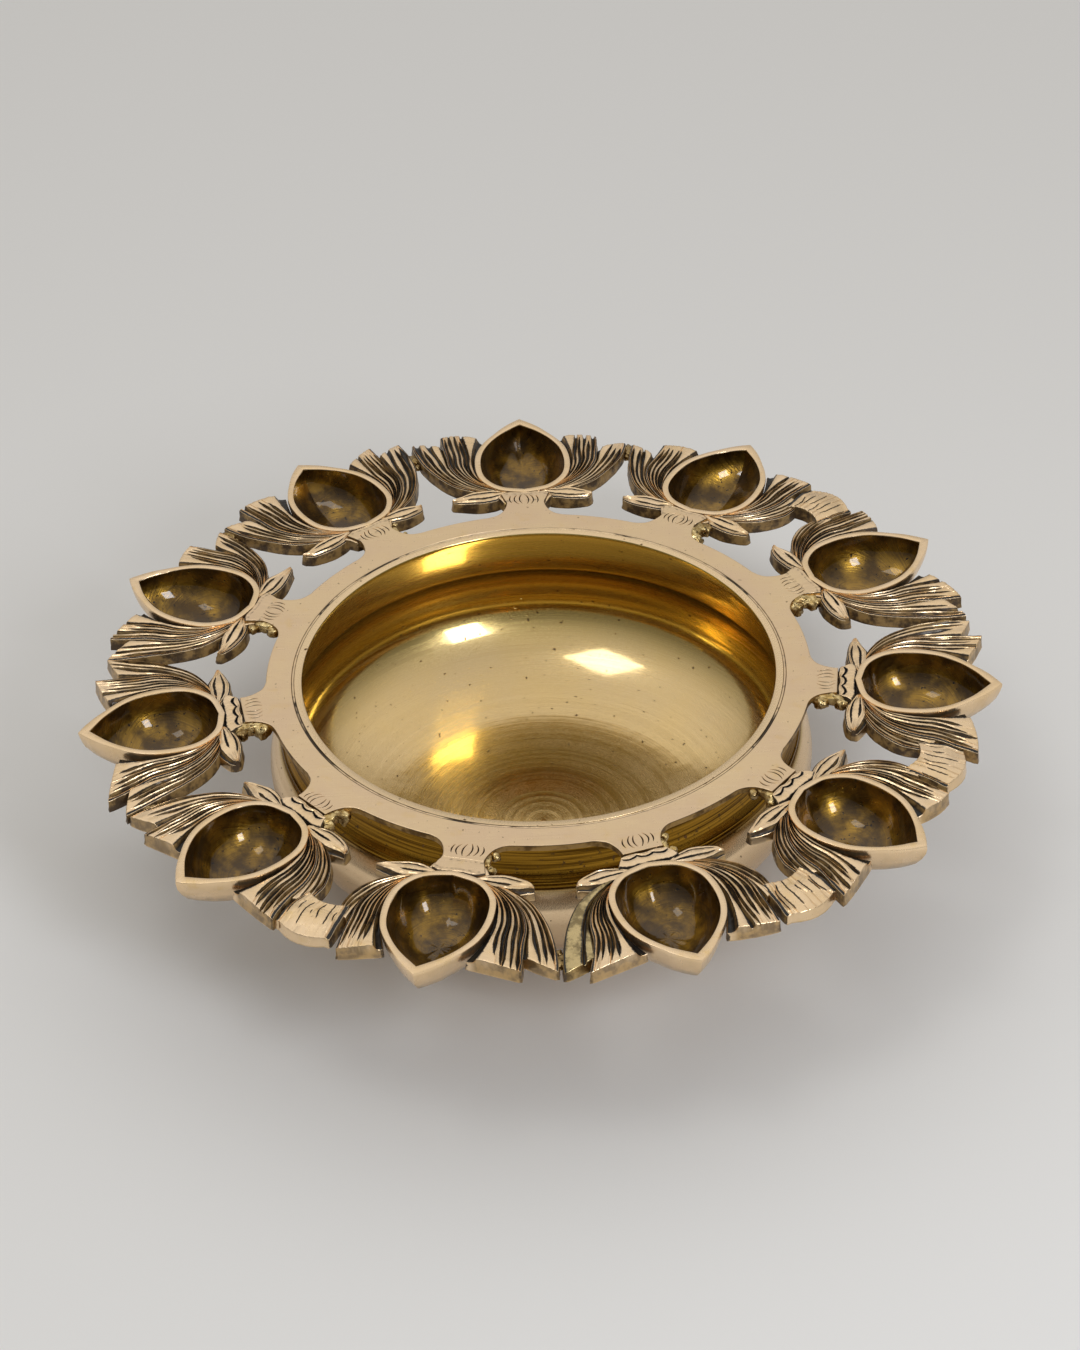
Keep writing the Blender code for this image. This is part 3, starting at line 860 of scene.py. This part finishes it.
def lotus_brass():
    """Filed petals and rims, black grooves, rough brown sides, and the oily brown of the cups."""
    nodes = Nodes("lotus_cast_brass")
    marks = scratches(nodes)
    cloud = nodes.noise(45.0, 4.0)
    grain = nodes.noise(1100.0, 3.0)
    blotch = nodes.noise(170.0, 4.0, 0.6)
    stain = nodes.attribute("patina")
    hollow = nodes.attribute("hollow")
    side = nodes.attribute("side")
    tone = nodes.blend(nodes.ramp(cloud, 0.35, 0.68), (0.92, 0.69, 0.44), (0.88, 0.64, 0.37))
    tone = nodes.blend(nodes.ramp(blotch, 0.52, 0.78, 0.0, 0.6), tone, (0.84, 0.58, 0.25))
    olive = nodes.blend(nodes.ramp(blotch, 0.42, 0.60), (0.58, 0.45, 0.21), (0.20, 0.15, 0.06))
    tone = nodes.blend(nodes.attribute("worn") * 0.9, tone, olive)
    dark = nodes.ramp(stain + (grain - 0.5) * 0.42, 0.20, 0.42)
    soot = nodes.blend(nodes.ramp(blotch, 0.52, 0.74), (0.008, 0.007, 0.006), (0.045, 0.028, 0.014))
    colour = nodes.blend(dark, tone, soot)
    brown = nodes.blend(nodes.ramp(blotch, 0.38, 0.62), (0.42, 0.26, 0.09), (0.08, 0.045, 0.018))
    colour = nodes.blend(side * 0.85, colour, brown)
    pits = nodes.ramp(nodes.noise(520.0, 2.0), 0.66, 0.72)
    film = nodes.ramp(nodes.noise(90.0, 4.0), 0.38, 0.70)
    oil = nodes.blend(film, (0.075, 0.038, 0.005), (0.36, 0.20, 0.022))
    swirl = nodes.combine(nodes.attribute("bore"), nodes.axis(0) * 30.0)
    ground = nodes.noise(1.9, 3.0, 0.6, vector=swirl)
    oil = nodes.blend(nodes.ramp(ground, 0.50, 0.68, 0.0, 0.5), oil, (0.07, 0.04, 0.012))
    oil = nodes.blend(pits, oil, (0.03, 0.018, 0.008))
    colour = nodes.blend(hollow, colour, oil)
    rough = nodes.ramp(marks, 0.3, 0.7, 0.24, 0.38) + dark * 0.16 + side * 0.08
    polished = nodes.ramp(ground, 0.3, 0.7, 0.26, 0.42)
    rough = nodes.make("ShaderNodeMix", 0, {0: hollow, 2: rough, 3: polished}, data_type="FLOAT")
    nodes.feed(nodes.shader.inputs["Coat Weight"], 0.2 + hollow * 0.7)
    nodes.shader.inputs["Coat Roughness"].default_value = 0.05
    cast = grain * (side * 1.4 + 0.25)
    nodes.bump((marks, 0.14, 0.0002), (cast, 0.25, 0.0003), (blotch, 0.22, 0.0009),
               (ground * hollow, 0.22, 0.0005), (pits * (hollow * -1.0), 0.5, 0.0004))
    return nodes.finish(colour, rough, 1.0 - dark * 0.7)


def braze_brass():
    """Filler: brighter and rougher than the castings, with darker patches, dark in its hollows and darker
    lower down.
    """
    nodes = Nodes("braze_filler_brass")
    lumps = nodes.noise(420.0, 4.0, 0.65)
    holes = nodes.ramp(nodes.noise(620.0, 2.0), 0.62, 0.70)
    darkening = nodes.ramp(nodes.noise(130.0, 4.0), 0.46, 0.66)
    darkening = nodes.math("MAXIMUM", darkening, nodes.attribute("patina"))
    # darker towards the bottom: from 1.2 mm below the filed plane, up to 0.8 past 3.4 mm
    darkening = nodes.math("MAXIMUM", darkening, (1.0 - nodes.from_top(3.4, 1.2)) * 0.8)
    colour = nodes.blend(nodes.ramp(lumps, 0.35, 0.65), (0.48, 0.32, 0.11), (0.90, 0.70, 0.35))
    colour = nodes.blend(darkening * 0.85, colour, UMBER)
    colour = nodes.blend(holes, colour, SOOT)
    nodes.bump((lumps, 0.6, 0.0006), (1.0 - holes, 0.6, 0.0006))
    return nodes.finish(colour, nodes.ramp(lumps, 0.3, 0.7, 0.36, 0.24))


# ---- placing

def show(item):
    bpy.context.scene.collection.objects.link(item)
    return item


def place(name, casting, material, slot, node, angle=0.0, sharp=38, extra=None):
    """Make a piece, turn it clockwise into place, and let it stand for its CAD node."""
    mesh = casting.mesh(name, sharp)
    if extra:
        extra(mesh)
    mesh.transform(Matrix.Rotation(-angle, 4, "Z"))
    mesh.materials.append(material)
    piece = show(bpy.data.objects.new(name, mesh))
    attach(piece, "root")
    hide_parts(node)
    return piece


def mark_regions(mesh):
    """Attributes for the lotus shader: hollow, unfiled sides, distance from the cup's middle and wear."""
    for name in ("hollow", "side", "bore", "worn"):
        mesh.attributes.new(name, "FLOAT", "POINT")
    hollow, side, bore, worn, patina = (mesh.attributes[name].data
                                        for name in ("hollow", "side", "bore", "worn", "patina"))
    for i, vertex in enumerate(mesh.vertices):
        x, y, z = (value / MM for value in vertex.co)
        if patina[i].value > WORN - 0.5:
            patina[i].value -= WORN
            worn[i].value = 1.0
        in_cup = patina[i].value > HOLLOW - 0.5
        upright = 1 - smoothstep(0.4, 0.7, abs(vertex.normal.z))
        under = smoothstep(0.3, 0.6, -vertex.normal.z)
        filed = lerp(0.85, 0.12, smoothstep(17.0, 20.0, abs(x)))
        away = 1 - filed * smoothstep(0.1, 0.6, vertex.normal.y)
        bore[i].value = math.hypot(x, y - CUP_CENTRE)
        if in_cup:
            hollow[i].value = 1.0
            patina[i].value = 0.0
        else:
            side[i].value = max(upright * away, 0.6 * under) * smoothstep(1.0, 2.4, TOP - z)


def engraving_tool(lamp):
    """Bars for the nested arcs on a lug, a lotus bud in outline."""
    tool = Casting()
    rng = random.Random(90 + lamp)
    azimuth = (lamp - 1) * PITCH
    shift, lean = rng.uniform(-0.6, 0.6), rng.uniform(-0.12, 0.12)
    for sign in (-1, 1):
        for belly, end, tall in ((2.1, 0.75, 4.1), (4.5, 2.6, 4.0), (6.7, 5.2, 3.1)):
            belly += rng.uniform(-0.25, 0.25)
            low, high = -tall * rng.uniform(0.8, 1.05), tall * rng.uniform(0.8, 1.05)
            points = []
            for k in range(11):
                y = lerp(low, high, k / 10)
                x = shift + lean * y + sign * lerp(belly, end, (y / 4.1) ** 2)
                y += CASTINGS[lamp]["marks"]
                angle, size = math.atan2(x, y) + azimuth, math.hypot(x, y)
                points.append(polar(angle, size))
            cut_line(tool, points)
    return tool


def engrave(piece, lamps):
    """Cut the lugs' arcs into a piece."""
    tool = Casting()
    for lamp in lamps:
        tool.join(engraving_tool(lamp))
    cutter = show(bpy.data.objects.new("engraving_tool", tool.mesh("engraving_tool")))
    cut = piece.modifiers.new("engraving", "BOOLEAN")
    cut.operation = "DIFFERENCE"
    cut.solver = "EXACT"
    cut.object = cutter
    bpy.context.view_layer.update()
    done = piece.evaluated_get(bpy.context.evaluated_depsgraph_get())
    mesh = bpy.data.meshes.new_from_object(done)
    piece.modifiers.clear()
    piece.data = mesh
    shade(mesh, 20)
    bpy.data.objects.remove(cutter, do_unlink=True)


def cut_line(tool, points):
    """A V-shaped bar that follows the points through the collar's top."""
    half, depth, above = 0.52, 0.7, 0.3
    rows = []
    count = len(points)
    for k, (x, y) in enumerate(points):
        ax, ay = points[max(0, k - 1)]
        bx, by = points[min(count - 1, k + 1)]
        size = math.hypot(bx - ax, by - ay)
        nx, ny = (by - ay) / size, -(bx - ax) / size
        taper = 0.35 + 0.65 * math.sin(math.pi * (k + 0.5) / count)
        wide = half * taper
        section = [(x + nx * wide, y + ny * wide, TOP + above), (x - nx * wide, y - ny * wide, TOP + above),
                   (x, y, TOP - depth * taper)]
        rows.append(tool.add(section, 0.0))
    for low, high in zip(rows, rows[1:]):
        tool.strip(low, high)
    tool.faces.append(tuple(reversed(rows[0])))
    tool.faces.append(tuple(rows[-1]))


lotus_material = lotus_brass()
filler_material = braze_brass()
collar_material = filed_brass("collar_filed_brass")

place("bowl_turned", bowl(), bowl_brass(), "bowl_brass", "bowl", sharp=30)
collar_piece = place("collar_with_lugs", collar(), collar_material, "collar_brass", "collar_ring")
engrave(collar_piece, CASTINGS)
place("seam_filler", seam_fill(), collar_material, "braze_filler", "rim_braze")

for lamp in CASTINGS:
    azimuth = (lamp - 1) * PITCH
    number = f"{lamp:02d}"
    pair = f"{number}_{lamp % LAMPS + 1:02d}"
    place(f"lotus_lamp_{number}", lotus(lamp), lotus_material, "lotus_brass", f"lotus_{number}", azimuth,
          extra=mark_regions)
    place(f"lug_filler_{number}", lug_braze(lamp), filler_material, "braze_filler", f"lug_braze_{number}",
          azimuth, sharp=60)
    if CASTINGS[lamp]["foot"] == FUSED:
        plate = place(f"lug_filed_{number}", lug_plate(), collar_material, "braze_filler",
                      f"lug_braze_{number}", azimuth)
        engrave(plate, [lamp])
    if lamp in BRIDGED:
        place(f"bridge_{pair}", bridge_plate(lamp), lotus_material, "lotus_brass", f"bridge_plate_{pair}",
              azimuth + PITCH / 2, extra=mark_regions)
    else:
        place(f"petal_filler_{pair}", petal_braze(lamp * 3.1), filler_material, "braze_filler",
              f"petal_braze_{pair}", azimuth + PITCH / 2, sharp=60)


# ---- stage, light and camera

AIM = (0, 0, 0.08)                             # what the lights face


def floor():
    """A plain pale sheet that the bowl stands on."""
    size = 4.0
    mesh = bpy.data.meshes.new("floor")
    corners = [(-size, -size, 0), (size, -size, 0), (size, size, 0), (-size, size, 0)]
    mesh.from_pydata(corners, [], [(0, 1, 2, 3)])
    nodes = Nodes("floor_paper")
    nodes.shader.inputs["Metallic"].default_value = 0.0
    mesh.materials.append(nodes.finish((0.80, 0.785, 0.76, 1.0), 0.7))
    piece = show(bpy.data.objects.new("floor", mesh))


def soft_light(name, place_m, size, power, colour):
    """A rectangle of light that faces the bowl."""
    lamp = bpy.data.lights.new(name, "AREA")
    lamp.shape = "RECTANGLE"
    lamp.size, lamp.size_y = size
    lamp.energy = power
    lamp.color = colour
    item = show(bpy.data.objects.new(name, lamp))
    item.location = place_m
    item.rotation_euler = (Vector(AIM) - Vector(place_m)).to_track_quat("-Z", "Y").to_euler()


def world():
    """A dim room with a pale backdrop behind the bowl, the side the camera sees mirrored in the brass."""
    sky = bpy.data.worlds.new("room")
    sky.use_nodes = True
    tree = sky.node_tree
    background = tree.nodes["Background"]
    coord = tree.nodes.new("ShaderNodeTexCoord")
    split = tree.nodes.new("ShaderNodeSeparateXYZ")
    tree.links.new(coord.outputs["Generated"], split.inputs[0])
    total = tree.nodes.new("ShaderNodeMath")
    towards_back, upwards = (1, -0.5, 0.8, 0.225, 0.52), (2, 0.30, 0.85, 0.0, 0.38)
    for index, (axis, *values) in enumerate((towards_back, upwards)):
        ramp = tree.nodes.new("ShaderNodeMapRange")
        ramp.interpolation_type = "SMOOTHSTEP"
        for name, value in zip(RAMP_SOCKETS, values):
            ramp.inputs[name].default_value = value
        tree.links.new(split.outputs[axis], ramp.inputs["Value"])
        tree.links.new(ramp.outputs[0], total.inputs[index])
    background.inputs["Color"].default_value = (1.0, 0.985, 0.96, 1.0)
    tree.links.new(total.outputs[0], background.inputs["Strength"])
    bpy.context.scene.world = sky


def camera():
    """A long lens, 37 degrees above the horizon and 7.15 tip radii from the collar's centre."""
    tip_radius = 0.203
    elevation = math.radians(37.26)
    azimuth = math.radians(181.52)              # clockwise from +Y, where the camera stands
    roll = math.radians(1.95)
    distance = 7.154 * tip_radius
    centre = Vector((0, 0, TOP * MM))
    toward = Vector((*polar(azimuth, math.cos(elevation)), math.sin(elevation)))
    lens = bpy.data.cameras.new("camera")
    lens.sensor_fit = "VERTICAL"
    lens.sensor_height = 36.0
    lens.lens = 88.0
    lens.clip_start = 0.05
    item = show(bpy.data.objects.new("camera", lens))
    rotation = toward.to_track_quat("Z", "Y").to_matrix().to_4x4() @ Matrix.Rotation(-roll, 4, "Z")
    item.matrix_world = Matrix.Translation(centre + toward * distance) @ rotation
    lens.shift_x, lens.shift_y = 0.0011407, -0.0046074     # shares of the picture's height
    bpy.context.scene.camera = item


floor()
world()
soft_light("key", (0.73, -1.13, 0.96), (0.38, 0.58), 8.0, (0.92, 0.97, 1.06))
soft_light("overhead", (-0.48, -0.24, 1.48), (0.46, 0.42), 1.7, (0.98, 1.0, 1.0))
camera()
bpy.context.scene.view_settings.view_transform = "Standard"
